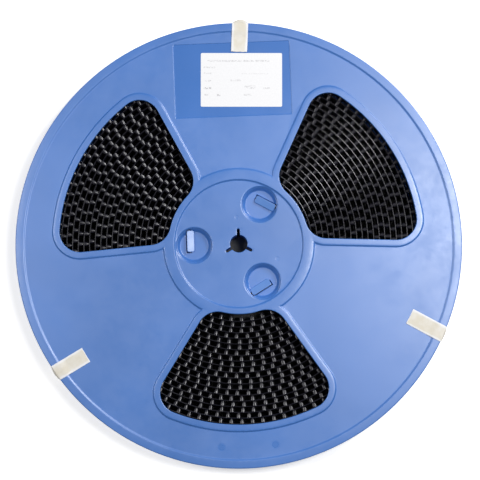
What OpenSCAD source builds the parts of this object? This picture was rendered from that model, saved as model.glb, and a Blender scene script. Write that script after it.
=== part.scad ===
// Thirteen-inch plastic reel wound with embossed carrier tape for
// surface-mount components, lying flat on its rear flange.
// +Z is the reel's axis, +Y points to the label panel, and z = 0 is the
// surface it lies on. Millimetres.

/* [Reel] */
// Outer diameter of both flanges
reel_d = 330; // [310:1:360]
// Clear width between the flanges, wider than the tape
inner_w = 17.4; // [16.4:0.1:24]
// Diameter of the hub drum that the tape is wound on
hub_d = 100; // [96:1:110]
// Diameter of the hole for the feeder's arbor
arbor_d = 13; // [10:0.1:16]

/* [Flange] */
// Thickness of the flange sheet
sheet_t = 1.5; // [1.2:0.1:2.5]
// Height of the window lips and hub ring above the sheet
lip_raise = 1.0; // [0.6:0.1:1.6]
// Height of the rim's crest above the sheet
rim_raise = 0.8; // [0.4:0.1:1.4]
// Radial width of the raised rim
rim_w = 7.4; // [5:0.1:12]
// Radial width of the rim's inner ramp
rim_ramp = 1.2; // [0.5:0.1:2]
// How far the rim's crest falls towards the edge
rim_fall = 0.35; // [0.1:0.05:0.6]
// Radius on the rim's outer edge
rim_round = 0.9; // [0.4:0.1:1]

/* [Windows] */
// Width of the band between the windows and the reel's edge
outer_band = 32.1; // [26:0.1:40]
// How far the windows stay outside the hub drum
window_hub_gap = 2; // [0.5:0.1:5]
// Half the angle between a window's two straight sides, degrees
window_angle = 33.5; // [30:0.5:36]
// Distance from the reel's axis to the line of each straight side
window_side = 5.33; // [3:0.01:9]
// Corner radius at the rim end
window_round_out = 15.4; // [8:0.1:20]
// Corner radius at the hub end
window_round_in = 15.8; // [10:0.1:18]
// Width of the raised lip round each window
lip_w = 5.8; // [3:0.1:6.5]

/* [Hub ring and arbor] */
// How far the raised ring reaches inside the drum's surface
ring_in = 3.5; // [3:0.1:5]
// How far the raised ring reaches outside the drum's surface
ring_out = 6.5; // [4:0.1:9]
// Width of the three drive notches in the arbor hole
notch_w = 2.2; // [1.5:0.1:3]
// Depth of the notches beyond the hole's wall
notch_depth = 4.7; // [3:0.1:6]
// Wall of the arbor collar outside the notches
collar_wall = 1.8; // [1.2:0.1:2.5]

/* [Hub drum] */
// Wall of the drum
drum_wall = 2; // [1.5:0.1:2.5]
// How deep the drum's ends sit in the flange grooves
drum_seat = 0.7; // [0.4:0.1:0.9]
// Clearance round the drum's ends and at the collars
seat_gap = 0.1; // [0.05:0.05:0.2]
// Thickness of the drum's middle web
web_t = 2; // [1.5:0.1:3]
// Clearance between the web and the arbor collars
web_gap = 0.7; // [0.3:0.1:1.5]

/* [Lock wells] */
// Radius of the round wells in the flanges
well_r = 12.8; // [12.6:0.1:13.2]
// Depth of the wells below the flange face
well_depth = 4; // [3:0.1:5]
// Wall and floor of the wells
well_wall = 1.5; // [1:0.1:1.8]
// Gap between the wells and the inside of the drum
well_gap = 0.7; // [0.3:0.1:1.5]

/* [Lock hooks] */
// Length of each hook along the drum's circumference
hook_l = 15.6; // [13:0.1:15.8]
// Radial width of a hook's head
hook_w = 5.2; // [4.5:0.1:5.4]
// Thickness of the hook's springing leg
hook_leg = 2.2; // [1.6:0.1:2.6]
// Height of the hook's head above the well floor
hook_h = 2.4; // [1.8:0.1:2.6]
// Fall of the head's lead-in face
hook_fall = 1.1; // [0.6:0.1:1.4]
// How far the hook lies outward of the well's centre
hook_out = 2.4; // [2:0.1:2.6]
// Gap between the hook's outer corner and the well's wall
hook_gap = 0.5; // [0.3:0.1:1]
// Clearance round the hook's leg in its slot
slot_gap = 0.8; // [0.5:0.1:1]
// Clearance under the hook's head
snap_gap = 0.15; // [0.05:0.05:0.3]

/* [Carrier tape] */
// Width of the carrier tape
tape_w = 16; // [12:0.5:16.2]
// Radial step from one turn to the next
tape_pitch = 4.18; // [3:0.01:6]
// Number of half turns on the reel
half_turns = 40; // [30:2:42]
// Thickness of the tape's edge strip with its cover film
tape_t = 0.5; // [0.3:0.05:0.8]
// Width of the flat margin with the drive holes
drive_margin = 2.6; // [2:0.1:3.5]
// Width of the plain margin on the other edge
plain_margin = 1.4; // [0.8:0.1:2]
// Clearance between the drum and the first turn
wind_gap = 0.3; // [0.1:0.05:0.5]

/* [Label] */
// Width of the recessed label panel
panel_w = 87.5; // [70:0.5:95]
// Height of the recessed label panel
panel_h = 56; // [46:0.5:60]
// Depth of the panel below the sheet
panel_depth = 0.35; // [0.2:0.05:0.5]
// Distance from the panel to the reel's edge
panel_edge = 14.5; // [10:0.5:18]
// Corner radius of the panel
panel_round = 1.5; // [0.5:0.1:4]
// Width of the paper label
label_w = 60.5; // [40:0.5:70]
// Height of the paper label
label_h = 40.3; // [25:0.1:46]
// Corner radius of the paper label
label_round = 1; // [0.3:0.1:3]
// Thickness of the paper label
label_t = 0.12; // [0.08:0.01:0.3]
// Sideways offset of the label from the panel's middle
label_shift = 6.75; // [-8:0.25:8]
// How far the label lies below the panel's middle
label_drop = 0.5; // [-4:0.25:4]
// Tilt of the label against the panel, degrees
label_tilt = -2.25; // [-4:0.25:4]

/* [Hold-down strips] */
// Width of the paper tape strips over the rim
strip_w = 12; // [8:0.5:19]
// Thickness of the paper tape
strip_t = 0.13; // [0.08:0.01:0.14]
// Thickness of the glue under the paper tape
glue_t = 0.03; // [0.01:0.01:0.05]
// How far the left and right strips bulge between the flanges
strip_bulge = 1.8; // [0.2:0.1:2.5]
// How far the slacker strip at the label bulges
slack_bulge = 4.4; // [0.2:0.1:5]
// Length on the flange of the strip at the label
label_strip_l = 21.7; // [16:0.1:23]
// Length on the flange of the left strip
left_strip_l = 26.1; // [16:0.1:30]
// Length on the flange of the right strip
right_strip_l = 28.2; // [16:0.1:30]

/* [Hidden] */
$fn = 96;
cut = 1; // how far a cutting shape runs past a surface
blend = 0.002; // a straight side starts this far inside its round corner
edge_flat = 0.1; // least height left straight between the rim's two rounds

reel_r = reel_d / 2;
hub_r = hub_d / 2;
arbor_r = arbor_d / 2;
flange_t = sheet_t + lip_raise;
reel_h = inner_w + 2 * flange_t;
front_z = flange_t + inner_w; // inner face of the front flange
mid_z = reel_h / 2;

// The rim: an inner ramp, a crest that falls outward, and a rounded edge
crest_r = reel_r - rim_w + rim_ramp;
edge_top = sheet_t + rim_raise - rim_fall;
edge_r = min(rim_round, (edge_top - edge_flat) / 2);

window_out = reel_r - outer_band;
window_in = hub_r + window_hub_gap;
window_places = [30, 150, 270];

notch_places = [90, 210, 330];
notch_tip = arbor_r + notch_depth;
collar_r = notch_tip + collar_wall;

drum_in = hub_r - drum_wall;
groove_depth = drum_seat + seat_gap;

well_pitch = drum_in - well_gap - well_wall - well_r;
well_places = [60, 180, 300];
well_floor = sheet_t - well_depth; // upper face of the floor, from the inner face

// Each hook stands across its well's radius, pushed round to the well's wall
hook_back = hook_out + hook_w / 2;
hook_end = sqrt(pow(well_r - hook_gap, 2) - pow(hook_back, 2));

// The winding is a two-centre spiral: half circles about two centres that
// lie half a pitch apart, each half circle half a pitch larger than the last
tape_z = flange_t; // the roll lies on the rear flange
centre_shift = tape_pitch / 4;
turn_0 = hub_r + wind_gap + tape_pitch + centre_shift;
end_turns = 3; // half turns at the end whose pockets follow the spiral
function turn_r(k) = turn_0 + k * tape_pitch / 2;

// Hold-down strips: [place on the rim, direction], degrees
strip_label = [87.4, 85.5];
strip_left = [213.1, 209.1];
strip_right = [333.8, 329.5];
// Radial width of the rim section that carries the strips
strip_reach = max(label_strip_l, left_strip_l, right_strip_l) + strip_w;
bulge_steps = 12;
strip_fn = 32; // the strips' sections are polygons

plastic = [0.37, 0.54, 0.84];
drum_plastic = [0.42, 0.58, 0.86];
tape_black = [0.08, 0.08, 0.09];
paper = [0.97, 0.97, 0.98];
masking = [0.92, 0.89, 0.80];

// Repeats its child at each angle of the list
module at_angles(angles) {
    for (a = angles) rotate([0, 0, a]) children();
}

// Rectangle with round corners about the origin
module round_rect(w, h, r) {
    square([w - 2 * r, h], center = true);
    square([w, h - 2 * r], center = true);
    for (x = [-1, 1], y = [-1, 1])
        translate([x * (w / 2 - r), y * (h / 2 - r)]) circle(r);
}

// Centre of a window corner of radius f that touches the circle whose
// corner centres lie at radius r, and the window's straight side
function corner(r, f) =
    let (q = window_side + f, t = sqrt(r * r - q * q))
    [q * sin(window_angle) + t * cos(window_angle),
     t * sin(window_angle) - q * cos(window_angle)];
function flip(p) = [p.x, -p.y];

// One window along +X, grown on every side by g
module window_2d(g = 0) {
    side = [-sin(window_angle), cos(window_angle)];
    c_out = corner(window_out - window_round_out, window_round_out);
    c_in = corner(window_in + window_round_in, window_round_in);
    t_out = c_out + side * (window_round_out + g - blend);
    t_in = c_in + side * (window_round_in + g - blend);
    polygon([c_in, t_in, t_out, c_out, flip(c_out), flip(t_out), flip(t_in), flip(c_in)]);
    for (s = [0, 1]) mirror([0, s]) {
        translate(c_out) circle(window_round_out + g);
        translate(c_in) circle(window_round_in + g);
    }
    intersection() {
        polygon([c_out, 2 * c_out, 2 * flip(c_out), flip(c_out)]);
        circle(window_out + g);
    }
    difference() {
        polygon([[0, 0], c_in, flip(c_in)]);
        circle(window_in - g);
    }
}

// Section of the sheet and rim from radius r to the edge, inner face at 0
module rim_profile(r) {
    polygon([[r, 0], [reel_r - edge_r, 0], [reel_r - edge_r, edge_top],
             [crest_r, sheet_t + rim_raise], [crest_r - rim_ramp, sheet_t], [r, sheet_t]]);
    translate([reel_r - edge_r, edge_r]) circle(edge_r);
    translate([reel_r - edge_r, edge_top - edge_r]) circle(edge_r);
    translate([reel_r - 2 * edge_r, edge_r]) square([2 * edge_r, edge_top - 2 * edge_r]);
}

// Raised lips round the windows, joined by the ring round the hub
module lips_2d() {
    difference() {
        union() {
            at_angles(window_places) window_2d(lip_w);
            circle(hub_r + ring_out);
        }
        circle(hub_r - ring_in);
    }
}

// Slot in the well's floor for a hook's leg, in the well's own axes:
// +X away from the reel's axis, +Y counterclockwise
module hook_slot_2d() {
    intersection() {
        translate([hook_back - hook_leg - slot_gap, -hook_end - slot_gap])
            square([hook_leg + 2 * slot_gap, hook_l + 2 * slot_gap]);
        circle(well_r - hook_gap / 2);
    }
}

// The flange moulding, inner face at z = 0, outer face up
module flange() {
    difference() {
        union() {
            difference() {
                rotate_extrude() rim_profile(0);
                translate([0, reel_r - panel_edge - panel_h / 2, sheet_t - panel_depth])
                    linear_extrude(panel_depth + cut) round_rect(panel_w, panel_h, panel_round);
            }
            linear_extrude(flange_t) lips_2d();
            at_angles(well_places) translate([well_pitch, 0, well_floor - well_wall])
                cylinder(r = well_r + well_wall, h = well_depth + well_wall - sheet_t / 2);
            translate([0, 0, seat_gap - inner_w / 2])
                cylinder(r = collar_r, h = inner_w / 2 - seat_gap + sheet_t / 2);
        }
        at_angles(window_places) translate([0, 0, -cut])
            linear_extrude(flange_t + 2 * cut) window_2d();
        at_angles(well_places) translate([well_pitch, 0, well_floor]) {
            cylinder(r = well_r, h = well_depth + cut);
            translate([0, 0, -well_wall - cut])
                linear_extrude(well_wall + 2 * cut) hook_slot_2d();
        }
        translate([0, 0, -inner_w]) cylinder(r = arbor_r, h = inner_w + flange_t);
        at_angles(notch_places) translate([0, 0, -inner_w])
            linear_extrude(inner_w + flange_t) notch_2d();
        drum_groove();
    }
}

// A drive notch with a round tip, along +X
module notch_2d() {
    translate([0, -notch_w / 2]) square([notch_tip - notch_w / 2, notch_w]);
    translate([notch_tip - notch_w / 2, 0]) circle(notch_w / 2);
}

// Groove in the flange's inner face where the drum's end sits
module drum_groove() {
    translate([0, 0, -cut]) difference() {
        cylinder(r = hub_r + seat_gap, h = groove_depth + cut);
        translate([0, 0, -cut]) cylinder(r = drum_in - seat_gap, h = groove_depth + 3 * cut);
    }
}

module front_flange() {
    color(plastic) translate([0, 0, front_z]) flange();
}

// The same moulding turned over, so its wells fall between the front ones
module rear_flange() {
    color(plastic) translate([0, 0, flange_t]) rotate([0, 180, 0]) flange();
}

// A snap hook in its well's axes, from the drum's web up through the slot:
// a springing leg with a head that leans over the well's floor
module hook() {
    floor_z = inner_w / 2 + well_floor; // above the drum's middle
    top = floor_z + hook_h;
    translate([0, hook_l - hook_end, 0]) rotate([90, 0, 0]) linear_extrude(hook_l)
        polygon([[hook_back, 0], [hook_back, top], [hook_back - hook_leg / 2, top],
                 [hook_back - hook_w, top - hook_fall], [hook_back - hook_w, floor_z + snap_gap],
                 [hook_back - hook_leg, floor_z + snap_gap], [hook_back - hook_leg, 0]]);
}

// Hub: the drum, a web across its middle, and three hooks for each flange
module hub() {
    half = inner_w / 2 + drum_seat;
    color(drum_plastic) translate([0, 0, mid_z]) {
        difference() {
            translate([0, 0, -half]) cylinder(r = hub_r, h = 2 * half);
            for (s = [-half - cut, web_t / 2])
                translate([0, 0, s]) cylinder(r = drum_in, h = half + cut - web_t / 2);
            translate([0, 0, -web_t]) cylinder(r = collar_r + web_gap, h = 2 * web_t);
        }
        for (side = [0, 180])
            rotate([0, side, 0]) at_angles(well_places) translate([well_pitch, 0, 0]) hook();
    }
}

// Half a turn of the winding: the tape's edge strip, and from the chosen
// turn on the pockets behind it
module half_turn(k, with_pockets) {
    r = turn_r(k);
    side = k % 2;
    translate([(2 * side - 1) * centre_shift, 0, tape_z]) rotate([0, 0, 180 * side])
        rotate_extrude(angle = 180) {
            translate([r - tape_t, 0]) square([tape_t, tape_w]);
            if (with_pockets)
                translate([r - tape_pitch, drive_margin])
                    square([tape_pitch - tape_t / 2, tape_w - plain_margin - drive_margin]);
        }
}

// The wound tape: every turn's edge stands out of the packed pockets
module carrier_tape() {
    color(tape_black) {
        translate([0, 0, tape_z + drive_margin]) difference() {
            cylinder(r = turn_r(half_turns - end_turns), h = tape_w - plain_margin - drive_margin);
            translate([0, 0, -cut]) cylinder(r = hub_r + wind_gap, h = tape_w);
        }
        for (k = [0:half_turns - 1]) half_turn(k, k >= half_turns - end_turns);
    }
}

module label() {
    color(paper)
        translate([label_shift, reel_r - panel_edge - panel_h / 2 - label_drop,
                   front_z + sheet_t - panel_depth])
            rotate([0, 0, label_tilt]) linear_extrude(label_t) round_rect(label_w, label_h, label_round);
}

// Both rims and the bulge between them, as one section
module strip_path(bulge) {
    translate([0, front_z]) rim_profile(reel_r - strip_reach);
    translate([0, flange_t]) mirror([0, 1]) rim_profile(reel_r - strip_reach);
    low = flange_t - edge_r;
    high = front_z + edge_r;
    polygon([[reel_r - strip_reach, low],
             for (i = [0:bulge_steps])
                 [reel_r + bulge * sin(180 * i / bulge_steps), low + (high - low) * i / bulge_steps],
             [reel_r - strip_reach, high]]);
}

// A paper strip that wraps over both rims
module hold_strip(at, length, bulge) {
    color(masking) intersection() {
        rotate_extrude() difference() {
            offset(r = glue_t + strip_t, $fn = strip_fn) strip_path(bulge, $fn = strip_fn);
            offset(r = glue_t, $fn = strip_fn) strip_path(bulge, $fn = strip_fn);
        }
        rotate([0, 0, at[0]]) translate([reel_r, 0, 0]) rotate([0, 0, at[1] - at[0]])
            translate([-length, -strip_w / 2, -cut])
                cube([length + strip_w, strip_w, reel_h + 2 * cut]);
    }
}
module hold_strip_label() { hold_strip(strip_label, label_strip_l, slack_bulge); }
module hold_strip_left() { hold_strip(strip_left, left_strip_l, strip_bulge); }
module hold_strip_right() { hold_strip(strip_right, right_strip_l, strip_bulge); }

front_flange();
rear_flange();
hub();
carrier_tape();
label();
hold_strip_label();
hold_strip_left();
hold_strip_right();
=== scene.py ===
"""Looks of the tape reel: flange mouldings, hub hooks, wound carrier tape, paper label and strips.

Lengths in the shape code are millimetres, as in the part's source, and MM turns them into metres.
"""

import math

import bpy
import numpy as np
from mathutils import Matrix, Vector, geometry


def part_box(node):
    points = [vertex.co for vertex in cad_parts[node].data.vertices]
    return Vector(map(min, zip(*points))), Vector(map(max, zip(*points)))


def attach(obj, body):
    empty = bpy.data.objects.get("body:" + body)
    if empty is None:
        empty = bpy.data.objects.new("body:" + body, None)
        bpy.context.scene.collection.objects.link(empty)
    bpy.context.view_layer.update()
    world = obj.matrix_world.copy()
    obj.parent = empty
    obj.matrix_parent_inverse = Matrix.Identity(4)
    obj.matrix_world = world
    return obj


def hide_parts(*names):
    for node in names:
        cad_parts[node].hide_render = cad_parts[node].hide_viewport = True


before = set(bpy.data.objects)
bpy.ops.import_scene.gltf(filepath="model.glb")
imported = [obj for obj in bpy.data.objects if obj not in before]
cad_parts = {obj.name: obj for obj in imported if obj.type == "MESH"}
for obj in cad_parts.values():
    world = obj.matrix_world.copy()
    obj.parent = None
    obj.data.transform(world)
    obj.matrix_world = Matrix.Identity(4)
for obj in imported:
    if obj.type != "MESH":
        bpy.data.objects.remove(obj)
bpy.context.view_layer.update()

MM = 0.001
ROOT = "root"


def lowest(node):
    """A CAD node's lowest corner, in millimetres."""
    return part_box(node)[0] / MM


def highest(node):
    """A CAD node's highest corner, in millimetres."""
    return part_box(node)[1] / MM


# ---- Sizes that the frame gives ------------------------------

REEL_R = highest("front_flange").x
REEL_H = highest("front_flange").z
HUB_R = highest("hub").x
TAPE_Z0 = lowest("carrier_tape").z
TAPE_Z1 = highest("carrier_tape").z
MID_Z = REEL_H / 2

# ---- Sizes that the part's source gives ----------------------

SHEET_T = 1.5            # the flange sheet
LIP_RAISE = 1.0          # window lips and hub ring above the sheet
FLANGE_T = SHEET_T + LIP_RAISE
INNER_W = REEL_H - 2 * FLANGE_T
FRONT_Z = FLANGE_T + INNER_W  # the front flange's inner face

RIM_RAISE = 0.8
RIM_W = 7.4
EDGE_R = 0.9             # rounding of the flange's outer edge

OUTER_BAND = 32.1        # from the windows to the reel's edge
WINDOW_HUB_GAP = 2
WINDOW_OUT = REEL_R - OUTER_BAND
WINDOW_IN = HUB_R + WINDOW_HUB_GAP
WINDOW_ANGLE = math.radians(33.5)  # half the angle between a window's straight sides
WINDOW_SIDE = 5.33       # from the reel's axis to the line of each straight side
ROUND_OUT = 15.4         # a window's corner radius at the rim
ROUND_IN = 15.8          # and at the hub
LIP_W = 5.8
WINDOW_PLACES = (30, 150, 270)

RING_INWARD = 3.5        # how far the raised hub ring reaches in from the hub's radius
RING_OUTWARD = 6.5       # and out
RING_IN = HUB_R - RING_INWARD
RING_OUT = HUB_R + RING_OUTWARD
ARBOR_R = 6.5
NOTCH_W = 2.2
NOTCH_DEPTH = 4.7
NOTCH_TIP = ARBOR_R + NOTCH_DEPTH
NOTCH_PLACES = (90, 210, 330)
NOTCH_STEP = 360 / len(NOTCH_PLACES)
COLLAR_WALL = 1.8
COLLAR_R = NOTCH_TIP + COLLAR_WALL
SEAT_GAP = 0.1           # clearance round the drum's ends and at the collars
DRUM_WALL = 2.0
DRUM_SEAT = 0.7          # how deep the drum's ends sit in the flanges
GROOVE_DEPTH = DRUM_SEAT + SEAT_GAP

WELL_R = 12.8
WELL_DEPTH = 4.0
WELL_WALL = 1.5
WELL_GAP = 0.7           # between the wells and the inside of the drum
WELL_PITCH = HUB_R - DRUM_WALL - WELL_GAP - WELL_WALL - WELL_R
WELL_PLACES = (60, 180, 300)
WELL_FLOOR = SHEET_T - WELL_DEPTH

HOOK_L = 15.6
HOOK_W = 5.2
HOOK_LEG = 2.2           # thickness of the springing leg
HOOK_H = 2.4             # the head above the well's floor
HOOK_FALL = 1.1          # fall of the head's lead-in face
HOOK_OUT = 2.4           # how far the hook lies outward of the well's centre
HOOK_BACK = HOOK_OUT + HOOK_W / 2
HOOK_GAP = 0.5           # from the hook's outer corner to the well's wall
HOOK_END = math.sqrt((WELL_R - HOOK_GAP) ** 2 - HOOK_BACK ** 2)
SLOT_GAP = 0.8           # clearance round the leg in its slot
SNAP_GAP = 0.15          # clearance under the head
WEB_T = 2.0              # the drum's middle web
WEB_GAP = 0.7            # between the web and the arbor collars

PANEL_W = 87.5
PANEL_H = 56.0
PANEL_DEPTH = 0.35
PANEL_ROUND = 1.5
PANEL_EDGE = 14.5        # from the panel to the reel's edge
PANEL_Y = REEL_R - PANEL_EDGE - PANEL_H / 2

LABEL_W = 60.5
LABEL_H = 40.3
LABEL_TILT = math.radians(-2.25)

STRIP_W = 12.0
STRIP_T = 0.13
STRIP_GLUE = 0.03
# node, place on the rim, direction, length on the flange, bulge between the flanges
STRIPS = (("hold_strip_label", 87.4, 85.5, 21.7, 4.4),
          ("hold_strip_left", 213.1, 209.1, 26.1, 1.8),
          ("hold_strip_right", 333.8, 329.5, 28.2, 1.8))

TAPE_PITCH = 4.18        # radial step from one turn to the next
TAPE_TURNS = 20
WIND_GAP = 0.3           # between the drum and the first turn
FIRST_TURN_R = HUB_R + WIND_GAP + TAPE_PITCH
DRIVE_MARGIN = 2.6       # the tape's margin with the drive holes
PLAIN_MARGIN = 1.4


# ---- Helpers -------------------------------------------------

CLOSE = 0.01             # a length that counts as none
FAR = 1e9                # further than anything on the reel
WHITE = (1, 1, 1, 1)


def ease(t):
    """Smooth step from 0 to 1 as t goes from 0 to 1."""
    t = np.clip(t, 0.0, 1.0)
    return t * t * (3 - 2 * t)


def polar(radius, degrees):
    """The point at a radius and an angle."""
    a = math.radians(degrees)
    return radius * math.cos(a), radius * math.sin(a)


def turned(points, degrees):
    """Points (n, 2) turned counterclockwise about the axis."""
    c, s = math.cos(math.radians(degrees)), math.sin(math.radians(degrees))
    return np.asarray(points) @ np.array([[c, s], [-s, c]])


def arc(cx, cy, radius, start, end, count):
    """Points on an arc from start to end degrees, both included."""
    a = np.radians(np.linspace(start, end, count))
    return np.column_stack([cx + radius * np.cos(a), cy + radius * np.sin(a)])


def circle(cx, cy, radius, count):
    """A closed loop of points on a circle."""
    return arc(cx, cy, radius, 0, 360, count + 1)[:-1]


def new_piece(name, verts, faces, material, sharp=32, weighted=True):
    """A mesh piece in metres, smooth except at edges over the sharp angle."""
    mesh = bpy.data.meshes.new(name)
    mesh.from_pydata([tuple(v) for v in np.asarray(verts) * MM], [], faces)
    mesh.validate()
    mesh.shade_smooth()
    mesh.set_sharp_from_angle(angle=math.radians(sharp))
    piece = bpy.data.objects.new(name, mesh)
    bpy.context.scene.collection.objects.link(piece)
    if weighted:
        normals = piece.modifiers.new("even_normals", "WEIGHTED_NORMAL")
        normals.keep_sharp = True
    mesh.materials.append(material)
    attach(piece, ROOT)
    return piece


# ---- Camera --------------------------------------------------

CAMERA_DISTANCE = 1100.0
CAMERA_TILT = math.radians(3.72)  # how far it leans from straight above towards -Y
CAMERA_ROLL = math.radians(2.25)
CAMERA_CLIP = (0.01, 20)          # in metres
LENS = 111.7
SENSOR = 36
AIM_RIGHT = 0.89         # how far right of the reel's middle it aims
AIM_UP = 2.68            # and how far up


def make_camera():
    """Looks down on the reel from a little in front of it."""
    right = Vector((math.cos(CAMERA_ROLL), -math.sin(CAMERA_ROLL), 0))
    up = Vector((math.sin(CAMERA_ROLL), math.cos(CAMERA_ROLL), 0))
    centre = Vector((0, 0, FRONT_Z + SHEET_T))
    offset = Vector((0, 0, math.cos(CAMERA_TILT))) - up * math.sin(CAMERA_TILT)
    place = centre + offset * CAMERA_DISTANCE
    back = (place - centre - right * AIM_RIGHT - up * AIM_UP).normalized()
    side = up.cross(back).normalized()
    turn = Matrix((side, back.cross(side), back)).transposed()
    data = bpy.data.cameras.new("camera")
    data.lens = LENS
    data.sensor_width = SENSOR
    data.clip_start, data.clip_end = CAMERA_CLIP
    camera = bpy.data.objects.new("camera", data)
    camera.matrix_world = Matrix.Translation(place * MM) @ turn.to_4x4()
    bpy.context.scene.collection.objects.link(camera)
    bpy.context.scene.camera = camera


# ---- Materials -----------------------------------------------

class Nodes:
    """Short calls for the node tree of a material or world."""

    def __init__(self, owner, output="ShaderNodeOutputMaterial"):
        owner.use_nodes = True
        self.tree = owner.node_tree
        self.tree.nodes.clear()
        self.output = self.add(output)

    def add(self, kind, inputs=None, **settings):
        """A new node with its inputs, which are values or other nodes' outputs, and settings."""
        node = self.tree.nodes.new(kind)
        for key, value in settings.items():
            setattr(node, key, value)
        for key, value in (inputs or {}).items():
            self.put(node.inputs[key], value)
        return node

    def put(self, socket, value):
        """Gives a socket its value, or a link from another node's output."""
        if isinstance(value, bpy.types.NodeSocket):
            self.tree.links.new(value, socket)
        else:
            socket.default_value = value

    def shader(self, **inputs):
        """The Principled shader, with its sockets by name."""
        sockets = {key.replace("_", " "): value for key, value in inputs.items()}
        node = self.add("ShaderNodeBsdfPrincipled", sockets)
        self.put(self.output.inputs["Surface"], node.outputs["BSDF"])

    def place(self):
        """The point in the piece's own axes, in metres."""
        return self.add("ShaderNodeTexCoord").outputs["Object"]

    def noise(self, vector, scale, detail, rough=0.5):
        """Fractal noise between 0 and 1."""
        return self.add("ShaderNodeTexNoise", {"Vector": vector, "Scale": scale, "Detail": detail,
                                               "Roughness": rough}).outputs["Fac"]

    def math(self, operation, a, b=0.0):
        """The result of one operation on values or outputs."""
        node = self.add("ShaderNodeMath", operation=operation)
        self.put(node.inputs[0], a)
        self.put(node.inputs[1], b)
        return node.outputs[0]

    def ramp(self, value, low, high, out_low=0.0, out_high=1.0):
        """A value between low and high, turned into one between out_low and out_high."""
        node = self.add("ShaderNodeMapRange", {"Value": value, "From Min": low, "From Max": high,
                                               "To Min": out_low, "To Max": out_high})
        return node.outputs["Result"]

    def mix(self, amount, a, b):
        """A colour between a, where the amount is 0, and b, where it is 1."""
        node = self.add("ShaderNodeMix", data_type="RGBA")
        self.put(node.inputs["Factor"], amount)
        self.put(node.inputs[6], a)
        self.put(node.inputs[7], b)
        return node.outputs[2]

    def bump(self, height, distance, strength, normal=None):
        """A normal that follows a height pattern; the distance is in metres."""
        node = self.add("ShaderNodeBump", {"Height": height, "Distance": distance,
                                           "Strength": strength})
        if normal is not None:
            self.put(node.inputs["Normal"], normal)
        return node.outputs["Normal"]


# Linear colours
FLANGE_BLUE = (0.055, 0.180, 0.535, 1)
HUB_BLUE = (0.075, 0.215, 0.58, 1)
TAPE_BLACKS = ((0.008, 0.008, 0.014, 1), (0.015, 0.014, 0.021, 1))
LABEL_WHITES = ((0.82, 0.82, 0.84, 1), (0.87, 0.87, 0.885, 1))
LABEL_INK = (0.10, 0.09, 0.11, 1)
STRIP_CREAMS = ((0.71, 0.665, 0.565, 1), (0.775, 0.745, 0.68, 1))
STRIP_BORDER = (0.85, 0.85, 0.865, 1)

FLANGE_ROUGH = 0.38
HUB_ROUGH = 0.40
POLISHED_ROUGH = 0.24
SCUFF_WEAR = (-0.03, 0.05)  # what scuffs and streaks add to the roughness
STREAK_WEAR = (-0.015, 0.015)
POLISHED_WEAR = 0.3      # share of the wear that is left where the mould is polished
TAPE_ROUGH = (0.25, 0.32)
PAPER_ROUGH = 0.55
STRIP_ROUGH = 0.7
PLASTIC_IOR = 1.88
TAPE_IOR = 1.55
TINT_SPREAD = 0.05       # how far the plastic's clouds differ from its colour
BORDER_RAGGED = 0.12     # how much a strip's pale border varies

# Scales of the noise patterns: 1000 gives features of about a millimetre
CLOUD_SCALE = 14.0
STREAK_SCALE = 300.0
SCUFF_SCALE = 60.0
GRAIN_SCALE = 2500.0
SWELL_SCALE = 9.0
DUST_SCALE = 180.0
GLOSS_SCALE = 90.0
FILM_SCALE = 1500.0
FIBRE_SCALE = 900.0
LETTER_SCALE = 1100.0
CREPE_SCALE = 1400.0
BLOTCH_SCALE = 160.0

# Heights of the bumps, in metres
GRAIN_DEPTH = 0.00002    # the plastic's fine texture
SWELL_DEPTH = 0.0009     # the sheet's slight waviness
FILM_DEPTH = 0.00003
FIBRE_DEPTH = 0.00002
CREPE_DEPTH = 0.00006


def moulded_plastic(name, base, rough):
    """Blue polystyrene: semi-gloss, with faint flow clouds, fine texture and handling scuffs."""
    material = bpy.data.materials.new(name)
    n = Nodes(material)
    at = n.place()
    clouds = n.noise(at, CLOUD_SCALE, 2.0)
    darker, paler = (tuple(c * share for c in base[:3]) + (1,)
                     for share in (1 - TINT_SPREAD, 1 + TINT_SPREAD))
    tint = n.mix(n.ramp(clouds, 0.35, 0.65), darker, paler)
    streaks = n.noise(at, STREAK_SCALE, 2.0)
    scuffs = n.noise(at, SCUFF_SCALE, 4.0, 0.6)
    wear = n.math("ADD", n.ramp(scuffs, 0.4, 0.75, *SCUFF_WEAR),
                  n.ramp(streaks, 0.3, 0.7, *STREAK_WEAR))
    polish = n.add("ShaderNodeAttribute", attribute_name="polish").outputs["Fac"]
    wear = n.math("MULTIPLY", wear, n.ramp(polish, 0.0, 1.0, 1.0, POLISHED_WEAR))
    roughness = n.math("ADD", wear, n.ramp(polish, 0.0, 1.0, rough, POLISHED_ROUGH))
    grain = n.bump(n.noise(at, GRAIN_SCALE, 2.0), GRAIN_DEPTH, 0.4)
    swell = n.bump(n.noise(at, SWELL_SCALE, 1.0), SWELL_DEPTH, 0.25, grain)
    n.shader(Base_Color=tint, Roughness=roughness, IOR=PLASTIC_IOR, Normal=swell)
    return material


def tape_plastic(name):
    """Black conductive polystyrene film: glossy on its formed faces, a little dusty."""
    material = bpy.data.materials.new(name)
    n = Nodes(material)
    at = n.place()
    dust = n.noise(at, DUST_SCALE, 4.0, 0.6)
    base = n.mix(n.ramp(dust, 0.4, 0.7), *TAPE_BLACKS)
    roughness = n.ramp(n.noise(at, GLOSS_SCALE, 3.0), 0.3, 0.7, *TAPE_ROUGH)
    grain = n.bump(n.noise(at, FILM_SCALE, 2.0), FILM_DEPTH, 0.35)
    n.shader(Base_Color=base, Roughness=roughness, IOR=TAPE_IOR, Normal=grain)
    return material


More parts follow.
